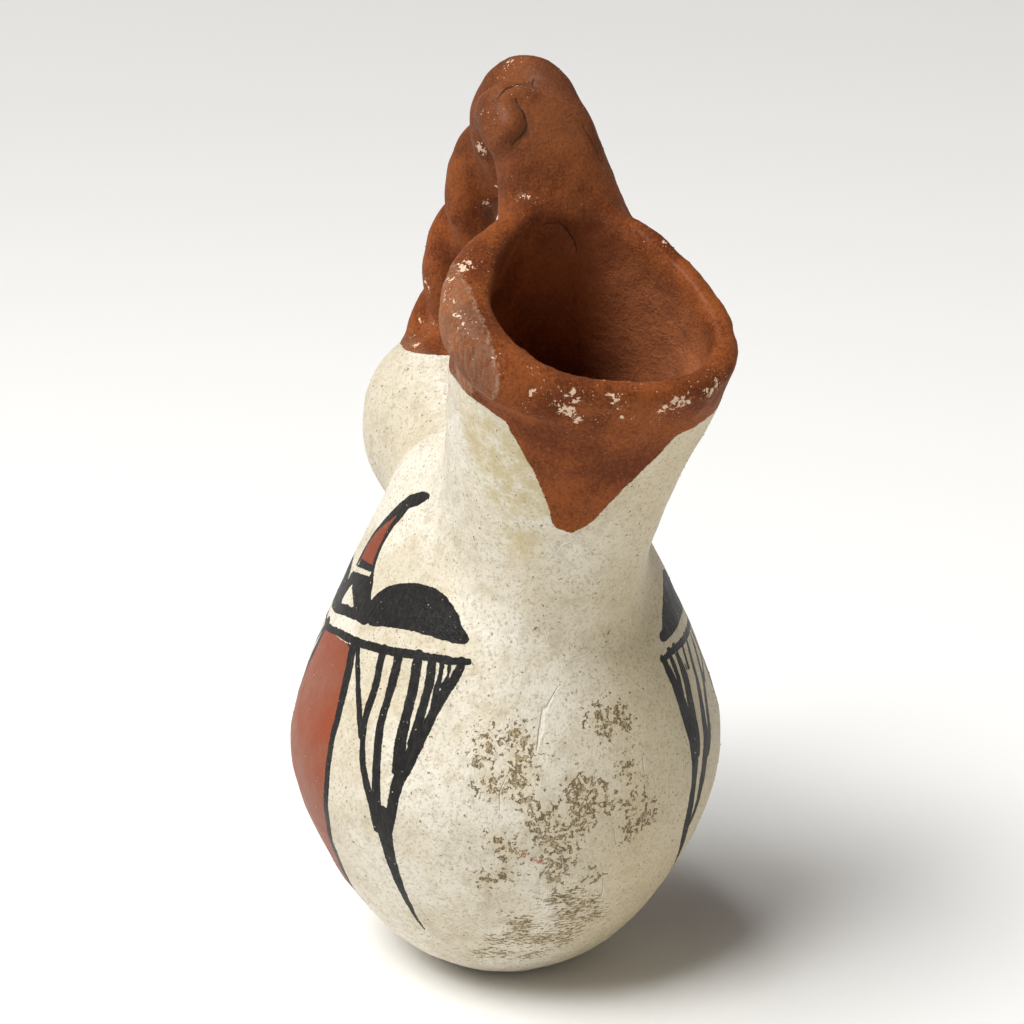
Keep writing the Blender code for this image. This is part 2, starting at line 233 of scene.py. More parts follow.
LEFT_STROKES = (
    ("S1", "a", ((77.4, 63.0, 1.0), (76.4, 62.2, 1.04), (71.9, 58.6, 1.04), (67.8, 55.1, 1.04),
        (64.2, 51.0, 1.15))),
    ("S2", "b", ((64.7, 63.6, 1.4), (64.5, 62.7, 1.38), (63.6, 58.8, 1.38), (63.7, 55.2, 1.27),
        (63.5, 51.6, 1.15), (61.6, 47.2, 1.15), (59.1, 43.8, 1.27), (57.1, 40.8, 1.38), (55.7, 36.8, 1.73))),
    ("S3", "a", ((57.8, 63.8, 1.5), (57.5, 60.0, 1.5), (57.8, 57.0, 1.38), (58.0, 53.9, 1.38),
        (57.6, 50.9, 1.38), (56.7, 46.9, 1.38), (55.8, 42.7, 1.5), (54.9, 38.2, 1.73))),
    ("S4", "c", ((50.5, 64.2, 1.6), (50.4, 63.5, 1.61), (50.0, 59.3, 1.61), (50.3, 55.3, 1.61),
        (50.7, 51.8, 1.85), (50.4, 49.3, 2.08), (50.6, 47.4, 1.6))),
    ("S5", "a", ((45.3, 64.2, 1.38), (45.0, 60.8, 1.38), (45.6, 57.8, 1.38), (46.5, 54.2, 1.38),
        (47.2, 51.9, 1.5))),
    ("S6", "c", ((42.0, 64.2, 0.69), (41.9, 62.0, 0.69), (42.5, 59.7, 0.92), (42.6, 58.0, 0.9))),
    ("S7", "b", ((35.6, 64.4, 1.2), (35.8, 63.7, 1.27), (37.4, 61.9, 1.38), (39.7, 59.8, 1.5),
        (41.7, 57.6, 1.5), (43.4, 55.0, 1.5), (45.6, 52.1, 1.85), (47.6, 49.1, 2.19), (49.4, 46.3, 1.96),
        (50.5, 43.5, 1.73), (51.4, 40.0, 1.73), (52.7, 37.3, 1.96))),
    ("S8", "a", ((39.4, 64.3, 0.46), (39.4, 62.4, 0.46), (40.5, 60.8, 0.69))),
    ("tail", "c", ((54.0, 39.6, 2.4), (53.9, 38.4, 3.46), (53.6, 34.0, 2.54), (53.5, 29.9, 2.08),
        (53.0, 25.3, 1.61), (52.2, 21.2, 1.15), (51.5, 17.7, 0.75), (50.4, 15.5, 0.35))))
LEAF_EDGE = (
    (79.4, 62.2, 1.73), (78.7, 61.0, 1.73), (77.0, 58.1, 1.73), (75.1, 53.4, 1.5), (74.5, 49.1, 1.27),
    (73.9, 44.3, 1.15), (74.1, 39.6, 1.15), (75.8, 34.8, 1.15), (78.6, 29.4, 1.15), (81.5, 23.7, 1.27),
    (84.2, 17.6, 1.15), (88.0, 11.5, 0.9), (91.5, 8.4, 0.5))
LINE_UNDER = (
    (34.0, 64.6, 1.1), (38.5, 64.5, 1.25), (45.4, 64.5, 1.35), (54.1, 64.3, 1.45), (63.9, 63.8, 1.5),
    (75.7, 63.3, 1.5), (85.0, 62.9, 1.4), (92.0, 62.5, 1.3), (103.2, 61.4, 1.3), (112.0, 61.0, 1.3),
    (124.0, 61.9, 1.4), (138.0, 62.8, 1.4), (148.0, 63.0, 1.2), (152.0, 63.0, 1.0))
LINE_OVER_BACK = ((119.0, 64.4, 1.3), (126.0, 65.0, 0.9), (138.0, 65.6, 0.8), (151.0, 65.5, 0.8))
HOOK_STROKES = (
    ("hook_top", "a", ((69.0, 86.8, 0.8), (70.5, 86.7, 1.5), (74.5, 86.3, 2.0), (78.5, 85.7, 2.3),
        (84.0, 84.9, 2.4), (89.0, 83.8, 2.2), (94.0, 82.6, 1.9), (98.5, 81.0, 1.6), (102.5, 79.4, 1.3),
        (105.5, 77.5, 1.0), (106.5, 75.0, 0.9), (106.0, 72.4, 1.0))),
    ("hook_front", "b", ((84.5, 84.0, 1.3), (88.5, 82.2, 1.5), (91.3, 80.4, 1.3), (92.0, 78.6, 1.2),
        (91.9, 76.8, 1.1), (91.0, 75.2, 1.1), (89.6, 73.8, 1.2), (86.9, 72.0, 1.4), (84.1, 70.2, 1.6),
        (81.7, 68.9, 1.7))),
    ("hook_base", "c", ((89.8, 73.5, 0.9), (95.8, 73.3, 0.9), (103.0, 72.9, 0.9))))
HOOK_FILL = (
    (89.5, 83.2), (91.4, 81.3), (92.3, 79.5), (92.4, 77.3), (91.9, 75.2), (90.8, 73.3), (97.0, 72.9),
    (103.5, 72.6), (105.5, 73.5), (106.3, 75.5), (105.6, 77.8), (103.5, 79.6), (100.0, 81.4), (95.0, 82.8))
KNOT_BAR = (("bar", "w", ((90.4, 72.5, 0.8), (97.0, 72.1, 0.9), (105.6, 71.3, 0.9))),)
KNOT_GAP = ((99.6, 69.6), (97.2, 69.0), (89.7, 67.0), (95.0, 66.7), (101.8, 66.2))
RIGHT_BLACK = {
    "dome": (
        (34.2, 63.6), (34.6, 64.6), (36.8, 65.0), (38.7, 65.8), (42.5, 67.6), (48.3, 69.4), (54.0, 70.6),
        (60.0, 71.2), (66.0, 70.6), (71.5, 69.0), (76.0, 66.6), (77.6, 64.6), (74.0, 63.4), (65.4, 63.6),
        (56.0, 63.9), (48.4, 63.6), (42.3, 63.3), (36.5, 63.2)),
    "knot": (
        (76.0, 65.6), (78.0, 67.2), (79.6, 69.0), (83.0, 70.1), (86.8, 70.4), (96.5, 69.9), (100.3, 68.6),
        (102.4, 66.9), (100.9, 65.2), (104.0, 63.8), (113.0, 63.2), (112.0, 61.6), (102.0, 61.6),
        (88.9, 62.2), (80.0, 62.8), (72.7, 63.3)),
}
RIGHT_STROKES = (
    ("R7", "b", ((32.4, 61.0, 1.0), (32.7, 60.7, 1.2), (33.2, 58.9, 1.6), (34.2, 56.5, 1.9),
        (35.0, 53.9, 2.4), (35.5, 51.3, 2.7), (36.0, 48.8, 2.8), (36.0, 46.2, 2.7), (35.6, 44.0, 2.3),
        (35.0, 41.4, 1.9), (34.6, 38.6, 1.8), (34.4, 35.8, 1.8), (35.0, 32.7, 1.9), (36.5, 29.2, 1.7),
        (39.1, 25.4, 1.2), (40.4, 22.6, 0.7), (41.2, 19.8, 0.3))),
    ("R6", "a", ((36.8, 61.4, 1.0), (36.7, 60.3, 1.0), (37.0, 58.4, 1.1), (36.6, 56.1, 1.2),
        (36.1, 54.2, 1.2))),
    ("R5", "c", ((40.7, 61.4, 1.2), (40.8, 60.1, 1.3), (41.1, 58.5, 1.6), (40.8, 56.1, 2.0),
        (39.8, 53.0, 2.2), (38.8, 49.8, 2.3), (38.2, 47.3, 2.2), (37.2, 45.0, 2.0))),
    ("R4", "a", ((51.8, 61.4, 0.9), (51.7, 60.3, 1.0), (49.3, 56.9, 1.3), (48.1, 53.7, 1.5),
        (46.5, 50.6, 1.8), (44.8, 47.6, 1.9), (43.7, 45.2, 2.3), (41.9, 42.3, 2.3), (40.2, 39.6, 2.0),
        (38.8, 36.6, 1.5), (37.9, 33.6, 1.2), (36.6, 31.0, 1.0))),
    ("R3", "b", ((59.9, 61.2, 0.8), (59.7, 60.0, 0.9), (56.8, 56.2, 1.3), (54.6, 53.1, 1.5),
        (51.4, 50.3, 1.5), (48.8, 47.5, 1.5), (46.7, 45.3, 1.5), (44.2, 43.2, 1.5))),
    ("R2", "c", ((64.6, 60.8, 0.8), (64.1, 56.8, 0.9), (61.2, 54.7, 1.0), (56.5, 53.1, 1.1))),
    ("R1", "c", ((46.6, 61.4, 0.7), (46.0, 59.4, 0.7), (45.2, 57.6, 0.8))))
RIGHT_UNDER = (
    (32.6, 61.0, 1.0), (38.0, 61.2, 1.25), (46.0, 61.2, 1.35), (56.0, 61.2, 1.4), (67.0, 60.9, 1.4),
    (80.0, 60.2, 1.3), (92.0, 60.0, 1.3), (106.0, 60.2, 1.3), (120.0, 60.6, 1.4), (136.0, 60.8, 1.3),
    (142.0, 60.8, 1.0))
RIGHT_OVER_BACK = ((112.0, 62.4, 1.2), (122.0, 62.8, 0.9), (142.0, 63.2, 0.8))

LEFT_BRUSH = 1.17
RIGHT_BRUSH = 1.12
LEAF_BRUSH = 1.2
LEFT_MIDDLE = 93
RIGHT_MIDDLE = 87
RIGHT_LEAF = {"side": -1, "up": -2.0, "by": -8}
RIGHT_HOOK = {"side": -1, "up": -3.2, "by": -5}
BELLY_RADIUS = 36
CANVAS_HEIGHTS = (5, 92)
CANVAS_FROM = 26
NEAR_A_LINE = 6


def turned(points, side=1, about=None, up=0.0, by=0.0, wide=1.0):
    """Carries painted points to the other side of the pot, or to the far half of a panel."""
    out = []
    for point in points:
        angle = point[0] + by
        if about is not None:
            angle = 2 * about - angle
        out.append((side * angle, point[1] + up) + tuple(width * wide for width in point[2:]))
    return out


def eased(points, step=0.35):
    """A Catmull-Rom curve through painted points, sampled about every third of a millimetre."""
    rows = np.array(points, dtype=float)
    ends = np.vstack([2 * rows[0] - rows[1], rows, 2 * rows[-1] - rows[-2]])
    out = []
    for k in range(1, len(ends) - 2):
        a, b, c, d = ends[k - 1:k + 3]
        span = math.hypot(math.radians(c[0] - b[0]) * BELLY_RADIUS, c[1] - b[1])
        for t in np.arange(0, 1, 1 / max(1, math.ceil(span / step))):
            out.append(0.5 * (2 * b + (c - a) * t + (2 * a - 5 * b + 4 * c - d) * t ** 2
                              + (3 * b - a - 3 * c + d) * t ** 3))
    out.append(rows[-1])
    return np.array(out)


def on_wall(angle, height):
    """The outer wall's point at an angle from the spout's side and a height in millimetres."""
    aim = math.radians(angle)
    way = Vector((-math.sin(aim), -math.cos(aim), 0))
    hit = wall_tree.ray_cast(way * 0.2 + Vector((0, 0, height / 1000)), -way)[0]
    return np.array(hit) * 1000


strokes = []
for name, channel, points in LEFT_STROKES:
    wide = 1.0 if name == "tail" else LEFT_BRUSH
    strokes.append((channel, turned(points, wide=wide)))
    strokes.append((channel, turned(points, about=LEFT_MIDDLE, up=-1.4, wide=wide)))
for name, channel, points in RIGHT_STROKES:
    strokes.append((channel, turned(points, side=-1, wide=RIGHT_BRUSH)))
    strokes.append((channel, turned(points, side=-1, about=RIGHT_MIDDLE, up=-0.3, wide=RIGHT_BRUSH)))
for channel, points, side in (("d", LINE_UNDER, 1), ("d", RIGHT_UNDER, -1), ("b", LINE_OVER_BACK, 1),
                              ("b", RIGHT_OVER_BACK, -1)):
    strokes.append((channel, turned(points, side=side)))
for name, channel, points in HOOK_STROKES + KNOT_BAR:
    strokes.append((channel, turned(points)))
    strokes.append((channel, turned(points, **RIGHT_HOOK)))
leaf_edges = [turned(LEAF_EDGE, wide=LEAF_BRUSH, **carried) for carried in
              ({}, {"about": LEFT_MIDDLE, "up": -0.8}, RIGHT_LEAF, {**RIGHT_LEAF, "about": RIGHT_MIDDLE})]
strokes += [("d", leaf_edge) for leaf_edge in leaf_edges]
areas = {
    "black": [turned(LEFT_BLACK["dome"]), turned(LEFT_BLACK["dome"], about=LEFT_MIDDLE, up=-1.6),
              turned(LEFT_BLACK["knot"]), turned(RIGHT_BLACK["dome"], side=-1),
              turned(RIGHT_BLACK["dome"], side=-1, about=RIGHT_MIDDLE, up=-0.3),
              turned(RIGHT_BLACK["knot"], side=-1)],
    "red": [[point[:2] for point in near + far[::-1]] for near, far in (leaf_edges[:2], leaf_edges[2:])]
           + [turned(HOOK_FILL), turned(HOOK_FILL, **RIGHT_HOOK)],
    "bare": [turned(KNOT_GAP), turned(KNOT_GAP, **RIGHT_HOOK)],
}

angle_of = np.degrees(np.arctan2(-wall_mm[:, 0], -wall_mm[:, 1]))
height_of = wall_mm[:, 2]
outward = np.einsum("ij,ij->i", normal[:, :2], wall_mm[:, :2] - np.array((0.0, 2.0))) > 0
canvas = np.where(outward & (height_of > CANVAS_HEIGHTS[0]) & (height_of < CANVAS_HEIGHTS[1])
                  & (np.abs(angle_of) > CANVAS_FROM))[0]


def store(name, values):
    layer = pot.data.attributes.new(name, "FLOAT", "POINT")
    layer.data.foreach_set("value", np.asarray(values, dtype=float))


def finder_of(points):
    finder = KDTree(len(points))
    for k, point in enumerate(points):
        finder.insert(point, k)
    finder.balance()
    return finder


def line_mark(name, curves, widths, where):
    """Stores for each vertex near some lines: how far it lies to one side, half the width, the gap."""
    ways = np.vstack([np.gradient(curve, axis=0) for curve in curves])
    ways /= np.linalg.norm(ways, axis=1)[:, None]
    centres, widths = np.vstack(curves), np.concatenate(widths)
    finder = finder_of(centres)
    mark = np.tile((30.0, 0.2, 30.0), (len(wall), 1))
    for k in where:
        _, near, gap = finder.find(wall_mm[k])
        if gap < NEAR_A_LINE:
            across = np.cross(normal[k], ways[near])
            mark[k] = (float(np.dot(wall_mm[k] - centres[near], across)), widths[near], gap)
    layer = pot.data.attributes.new(name, "FLOAT_VECTOR", "POINT")
    layer.data.foreach_set("vector", mark.ravel())


for channel in "abcdw":
    curves, widths = [], []
    for own, points in strokes:
        if own == channel:
            curve = eased(points)
            curves.append(np.array([on_wall(p[0], p[1]) for p in curve]))
            widths.append(np.maximum(curve[:, 2], 0.1) / 2)
    line_mark("stroke_" + channel, curves, widths, canvas)

for kind, shapes in areas.items():
    edge = np.vstack([[on_wall(p[0], p[1]) for p in eased(list(shape) + [shape[0]])] for shape in shapes])
    finder = finder_of(edge)
    inside = np.zeros(len(wall), dtype=bool)
    for shape in shapes:
        ring = eased(list(shape) + [shape[0]])
        hits = np.zeros(len(canvas), dtype=int)
        for a, b in zip(ring, ring[1:]):
            rises = (a[1] > height_of[canvas]) != (b[1] > height_of[canvas])
            if abs(b[1] - a[1]) > 1e-9:
                crossing = a[0] + (height_of[canvas] - a[1]) / (b[1] - a[1]) * (b[0] - a[0])
                hits += rises & (angle_of[canvas] < crossing)
        inside[canvas[hits % 2 == 1]] = True
    depth = np.full(len(wall), -20.0)
    for k in canvas:
        gap = finder.find(wall_mm[k])[2]
        depth[k] = min(gap, 8.0) * (1 if inside[k] else -1)
    store("area_" + kind, depth)


# The red-brown slip is a second, iron-rich clay, brushed over the white one on the spout, inside the
# mouth and on the handle. Its lower edge dips to a point under the mouth and stops where the handle
# lands on the crown. The head gets plain black dots for eyes and a red-brown beak.
MOUTH_CENTRE = (1.97, -34.5, 123.2)
MOUTH_TILT = 39
MOUTH_TURN = 8
MOUTH_RADIUS = 22
SLIP_LINE = (
    (-35, -14.0), (0, -9.5), (30, -7.8), (52.3, -6.8), (60.1, -5.9), (65.5, -5.7), (70.9, -5.8),
    (76.5, -6.6), (80.1, -9.4), (84.7, -12.7), (90.2, -16.4), (95.4, -20.5), (98.4, -23.7),
    (101.3, -25.2), (104.6, -26.5), (109.7, -26.6), (113.4, -25.4), (117.2, -22.8), (123.9, -19.2),
    (129.5, -16.5), (136.1, -14.1), (142.8, -11.6), (147.1, -9.9), (150.7, -10.0), (155.8, -10.4),
    (161.3, -11.0), (166.8, -11.8), (177.5, -13.7), (198, -18.5), (225, -21.0), (270, -22.0), (300, -20.0))
HORN_AXIS = (
    (1.0, -14.0, 72.0), (1.4, -19.0, 97.0), (1.7, -25.0, 110.0), (2.0, -34.5, 123.2), (2.2, -42.0, 132.0))
HORN_REACH = 23.5
POURED_DEPTH = 84.0
HANDLE_LANDING = 102.8
BEAK_TIP = (1.1, 56.0, 84.5)
BEAK_SLIP = 8.5
HOLLOW_ROUNDS = 14
EYES = (((-12.0, 42.0, 93.0), 2.0), ((14.0, 42.0, 93.0), 2.0))


turned_mouth = (Matrix.Rotation(math.radians(MOUTH_TURN), 3, "Z")
                @ Matrix.Rotation(math.radians(MOUTH_TILT), 3, "X"))
from_mouth = (wall_mm - np.array(MOUTH_CENTRE)) @ np.array(turned_mouth)
round_mouth = np.degrees(np.arctan2(-from_mouth[:, 1], from_mouth[:, 0]))
line_angle, line_depth = np.array(SLIP_LINE).T
depth_here, depth_before, depth_after = (np.interp(round_mouth + turn, line_angle, line_depth, period=360)
                                         for turn in (0, -2, 2))
slope = (depth_after - depth_before) / math.radians(4) / MOUTH_RADIUS
slip_edge = (from_mouth[:, 2] - depth_here) / np.sqrt(1 + slope ** 2)
steepness = np.sqrt(np.clip(1 - normal[:, 2] ** 2, 0.09, 1))
landing = np.where(wall_mm[:, 1] > 4, (wall_mm[:, 2] - HANDLE_LANDING) / steepness, -20)
slip_edge = np.maximum(slip_edge, landing)
from_axis = offset_from(wall_mm, HORN_AXIS)
inside_horn = np.einsum("ij,ij->i", normal, from_axis) < 0
inside_horn &= np.linalg.norm(from_axis, axis=1) < HORN_REACH
inside_horn &= (wall_mm[:, 2] > 66) & (wall_mm[:, 1] < 2)
slip_edge = np.where(inside_horn, 8.0, slip_edge)
slip_edge = np.maximum(slip_edge, BEAK_SLIP - gap_to(BEAK_TIP))
store("slip_edge", np.clip(slip_edge, -20, 20))
eye_dots = [(np.array(wall_tree.find_nearest(Vector(centre) / 1000)[0]) * 1000, radius)
            for centre, radius in EYES]
store("eye", np.max([radius - gap_to(centre) for centre, radius in eye_dots], axis=0))

bare_inside = np.zeros(len(wall))
for k, point in enumerate(wall):
    index = solid_tree.find_nearest(Vector(point))[2]
    if index is not None and hidden_faces[index]:
        bare_inside[k] = 1
bare_inside[inside_horn] = np.clip((POURED_DEPTH - wall_mm[inside_horn, 2]) / 6, 0, 1)
for _ in range(3):
    bare_inside = neighbours_mean(bare_inside[:, None], links, len(wall))[:, 0]
store("raw_clay", bare_inside)

# Painted light on the mouth's right inner wall, where light falls in from the left, from just below the lip
# down to the throat
below_lip = -from_mouth[:, 2]
mouth_lit = np.clip(below_lip / 7, 0, 1) * np.clip((34 - below_lip) / 14, 0, 1)
mouth_lit = (inside_horn * mouth_lit * np.clip((wall_mm[:, 0] + 5) / 15, 0, 1))[:, None]
for _ in range(4):
    mouth_lit = neighbours_mean(mouth_lit, links, len(wall))
store("mouth_light", mouth_lit[:, 0])

# How deep each place lies below its surroundings, for the painted shade in the hollows
sunk = wall
for _ in range(HOLLOW_ROUNDS):
    sunk = sunk + 0.5 * (neighbours_mean(sunk, links, len(wall)) - sunk)
store("hollow", np.einsum("ij,ij->i", sunk - wall, normal) * 1000)


# Long use left its marks: the slip has chipped to the white along the lip and on the handle's high
# places, a spill dried yellow beside the neck, and the white is worn and scuffed brown where a hand
# held the belly, with a few scratches, a fine crack in the mouth and one smear of red. Dark lines
# along the handle's creases are painted shade.
LIP_CHIPS = (
    (-13.8, -48.4, 115.4, 0.6), (-15.2, -47.8, 114.0, 1.2), (-11.5, -49.4, 114.4, 0.7),
    (-9.8, -50.0, 114.1, 1.3), (-9.7, -49.4, 112.8, 1.3), (-11.8, -48.7, 112.2, 0.9),
    (-9.7, -48.7, 110.9, 1.5), (-8.1, -48.1, 109.6, 1.3), (-10.7, -48.6, 111.2, 1.0),
    (-4.5, -51.2, 113.2, 0.9), (-3.7, -51.2, 112.9, 1.0), (-3.1, -50.7, 111.5, 0.8),
    (-4.8, -48.9, 115.2, 0.6), (1.1, -49.4, 114.7, 0.9), (-0.6, -49.7, 109.4, 0.6),
    (-2.0, -49.7, 109.7, 0.5), (6.1, -51.2, 111.9, 1.2), (7.3, -51.1, 111.3, 1.5),
    (4.3, -50.6, 110.2, 1.4), (8.4, -50.6, 110.7, 1.2), (5.2, -50.9, 110.8, 1.5),
    (11.1, -50.4, 112.3, 0.9), (14.0, -49.5, 113.0, 1.2), (17.5, -45.7, 110.9, 0.9),
    (17.1, -47.6, 113.8, 0.7), (12.2, -50.0, 111.8, 0.9), (13.2, -49.7, 111.8, 0.8),
    (-15.0, -47.6, 116.8, 0.6), (-19.8, -44.4, 118.3, 0.8), (-21.0, -43.5, 118.0, 0.6),
    (-19.0, -30.6, 129.2, 1.7), (-20.9, -30.6, 127.4, 1.2), (-21.9, -32.5, 126.2, 1.2),
    (-22.2, -35.5, 124.9, 1.0), (-22.4, -33.3, 125.2, 1.1), (-22.5, -37.4, 123.4, 1.2),
    (-22.4, -39.0, 122.2, 1.2), (-21.7, -40.1, 122.1, 0.9), (-20.9, -39.6, 123.1, 0.7),
    (15.9, -24.9, 129.2, 1.2), (15.8, -25.8, 128.0, 0.9), (20.5, -32.0, 120.0, 0.8),
    (21.5, -38.0, 113.0, 0.9))
HANDLE_CHIPS = (
    (0.3, -0.6, 155.4, 1.1), (-1.4, -9.2, 152.1, 1.2), (-0.9, -10.2, 151.8, 0.8),
    (-6.7, -9.9, 149.4, 1.1), (-7.2, -9.7, 148.3, 1.1), (-7.3, -10.5, 146.8, 0.9),
    (-2.6, 5.2, 141.8, 1.3), (-2.0, 4.8, 141.0, 1.1), (-3.7, -18.0, 136.9, 0.7), (2.5, 15.1, 130.7, 0.9),
    (1.4, 8.8, 134.4, 0.9), (-3.8, 28.3, 115.5, 1.0), (-3.4, 27.5, 114.4, 0.9), (-2.2, 35.0, 107.0, 0.9),
    (-1.3, 31.0, 107.1, 0.8), (-5.4, 29.0, 103.7, 1.1), (-4.6, 34.0, 104.2, 0.9), (6.5, 20.0, 132.5, 1.0),
    (5.5, 33.0, 115.0, 1.0), (7.0, 4.0, 150.5, 0.9))
WORN_SPOTS = (
    (-11.0, -32.4, 54.5), (-11.4, -32.8, 52.8), (-10.0, -33.8, 51.5), (-15.8, -30.6, 53.4),
    (-16.5, -31.4, 50.8), (-16.4, -32.7, 46.8), (-15.2, -33.5, 46.1), (-12.7, -34.3, 47.3),
    (-11.9, -34.7, 46.8), (-11.0, -34.3, 49.2), (-10.5, -35.8, 43.6), (-8.1, -36.6, 42.0),
    (-7.4, -36.8, 40.4), (-9.9, -36.3, 40.2), (-7.7, -36.6, 38.0), (-5.8, -37.0, 38.3),
    (-6.9, -36.5, 36.3), (-5.9, -36.1, 33.1), (-4.0, -36.1, 32.4), (-2.5, -36.8, 46.1),
    (-2.0, -37.1, 44.6), (-3.0, -37.2, 42.9), (-0.4, -37.3, 43.2), (-1.3, -37.4, 41.5),
    (-2.3, -37.4, 39.7), (-2.6, -37.3, 38.2), (2.2, -33.8, 55.6), (3.6, -34.3, 54.1), (5.6, -33.3, 56.1),
    (7.0, -33.7, 54.4), (6.8, -36.1, 46.9), (6.9, -36.8, 41.8), (8.0, -36.5, 37.5), (9.6, -36.4, 39.9),
    (7.7, -36.3, 35.9), (10.7, -35.9, 37.9), (-14.8, -34.3, 37.1), (-12.7, -34.8, 35.0),
    (-13.9, -33.0, 30.4), (-16.4, -31.4, 29.4), (-4.9, -34.8, 28.8), (-2.9, -33.8, 25.5),
    (-4.9, -33.0, 24.4), (-6.7, -35.2, 30.5), (-1.1, -31.5, 20.4), (2.1, -32.4, 22.3),
    (-2.4, -30.1, 18.0), (-4.1, -27.6, 14.2), (-9.3, -27.5, 16.0), (-9.7, -23.6, 10.8),
    (-13.0, -21.7, 10.5), (-8.2, -29.6, 18.9), (-12.3, -25.0, 14.1), (-5.0, -24.0, 10.0),
    (0.0, -26.5, 12.5), (1.5, -29.5, 17.0), (-6.5, -27.5, 14.5), (4.0, -30.5, 18.5), (-1.0, -28.0, 14.5),
    (-10.5, -29.0, 20.0), (-1.5, -33.0, 23.0), (1.0, -35.0, 28.0), (-3.5, -36.2, 35.0),
    (0.5, -37.4, 45.5), (3.0, -37.2, 42.0))
STAIN_SPOTS = (
    (-17.1, -33.5, 103.5), (-15.4, -33.9, 99.8), (-13.8, -33.3, 95.8), (-12.5, -34.1, 94.3),
    (-17.9, -34.1, 106.3), (-15.2, -38.1, 104.5), (-13.2, -38.5, 101.8), (-11.6, -37.2, 97.7),
    (-10.2, -36.5, 94.7), (-10.3, -31.5, 85.5))
SMEAR_SPOTS = ((-11.0, -35.2, 34.5), (-9.5, -35.4, 33.5), (-8.2, -35.5, 32.9))
SCRATCHES = (
    ((-6.6, -32.3, 57.9), (-7.0, -33.1, 55.6), (-8.1, -33.9, 52.7)),
    ((9.8, -35.2, 48.0), (9.8, -35.7, 45.5)), ((4.0, -37.1, 36.9), (4.7, -36.5, 34.1)),
    ((-15.7, -29.7, 24.4), (-12.7, -31.9, 26.5)), ((-8.2, -34.2, 28.7), (-6.8, -35.5, 31.9)),
    ((-5.7, -27.4, 14.4), (-4.9, -29.6, 17.5), (-4.3, -31.0, 20.0), (-3.5, -31.7, 21.2)),
    ((-1.5, -30.7, 64.8), (-0.1, -30.6, 65.1), (1.3, -30.6, 65.3), (2.4, -30.5, 65.9),
        (3.4, -30.4, 66.3)),
    ((3.4, -34.2, 26.7), (3.9, -33.3, 24.6), (3.9, -32.0, 21.8)),
    ((-4.9, -36.3, 33.6), (-4.4, -35.7, 31.3), (-4.8, -34.7, 28.5)),
    ((-13.7, -33.8, 47.5), (-14.6, -33.9, 45.6), (-14.8, -34.3, 43.5)),
    ((-4.1, -31.7, 60.5), (-5.7, -32.2, 58.4), (-6.5, -32.8, 56.6)),
    ((10.6, -31.9, 56.7), (12.5, -30.7, 57.7), (13.8, -29.4, 59.4)),
    ((20.0, 27.0, 52.0), (24.0, 25.0, 47.0)), ((-6.0, 37.0, 40.0), (-2.0, 37.5, 44.0)),
    ((-3.0, -36.6, 87.8), (-3.6, -35.9, 86.5), (-4.9, -35.1, 85.7), (-5.4, -34.3, 84.4),
        (-5.9, -33.7, 83.5)))
CHIP_SPREAD = 1.3
CRACK_AND_CREASE_WIDTHS = (0.22, 0.22, 0.1, 0.1)
SCRATCH_WIDTHS = (0.8, 0.3, 0.26, 0.24, 0.26, 0.34, 0.3, 0.3, 0.24, 0.24, 0.26, 0.24, 0.24, 0.22, 0.4)


def nearness(spots, reach):
    """How near each vertex lies to any of some spots, 0 to 1, fading over the reach in millimetres."""
    left = np.ones(len(wall))
    for spot in spots:
        left *= 1 - 0.85 * np.exp(-(gap_to(spot) / reach) ** 2)
    return 1 - left


def stretched(path, step=0.3):
    """A polyline laid on the wall and filled in so that no gap is wider than the step."""
    out = []
    for a, b in zip(path, path[1:]):
        a, b = np.array(a), np.array(b)
        count = max(2, math.ceil(np.linalg.norm(b - a) / step))
        out += [a + (b - a) * t for t in np.linspace(0, 1, count, endpoint=False)]
    out.append(np.array(path[-1]))
    return np.array([wall_tree.find_nearest(Vector(p / 1000))[0] for p in out]) * 1000


chip = np.full(len(wall), -3.0)
for x, y, z, radius in LIP_CHIPS + HANDLE_CHIPS:
    chip = np.maximum(chip, 1 - gap_to((x, y, z)) / (radius * CHIP_SPREAD))
store("chip", chip)
store("worn", nearness(WORN_SPOTS, 2.1))
store("stain", nearness(STAIN_SPOTS, 4.4))
store("smear", nearness(SMEAR_SPOTS, 0.8))
for name, paths, widths, taper in (("scratch", SCRATCHES, np.array(SCRATCH_WIDTHS) / 2, 0.25),
                                   ("crack_and_crease_shade", CREASES, CRACK_AND_CREASE_WIDTHS, 0.3)):
    curves = [stretched(path) for path in paths]
    line_mark(name, curves, [width * np.sin(np.linspace(taper, math.pi - taper, len(curve)))
                             for curve, width in zip(curves, widths)], range(len(wall)))


# The fired surface: a chalky white slip rubbed to a low shine, a matt red-brown slip with grain and
# pits, a black that is part plant juice and part iron and lies on the white like thin leather, and
# the marks of use over all of it. Coordinates are the pot's own, in millimetres.
WHITE_SLIP = ((222, 216, 201), (200, 190, 168))
# Aged white, also the colour of the painted shade on the right front
WHITE_AGED_AND_SHADED = (197, 180, 143)
GRAIN_SHADE = (150, 132, 100)
RED_SLIP = ((138, 73, 30), (92, 41, 11))
RED_PAINT = ((146, 70, 40), (118, 52, 30))
BLACK_PAINT = ((20, 19, 19), (40, 37, 34))
BARE_CLAY = ((128, 92, 68), (98, 72, 55))
CHIP_WHITE = (228, 198, 168)
CUT_WHITE = (236, 230, 216)
WORN_TAN = (166, 146, 110)
WORN_EDGE = (72, 56, 36)
STAIN_YELLOW = (188, 171, 118)
SMEAR_RED = (150, 66, 38)
SPECK_DARK = (92, 76, 54)
PIT_DARK = (58, 26, 16)
CRACK_SHADE = (52, 28, 18)
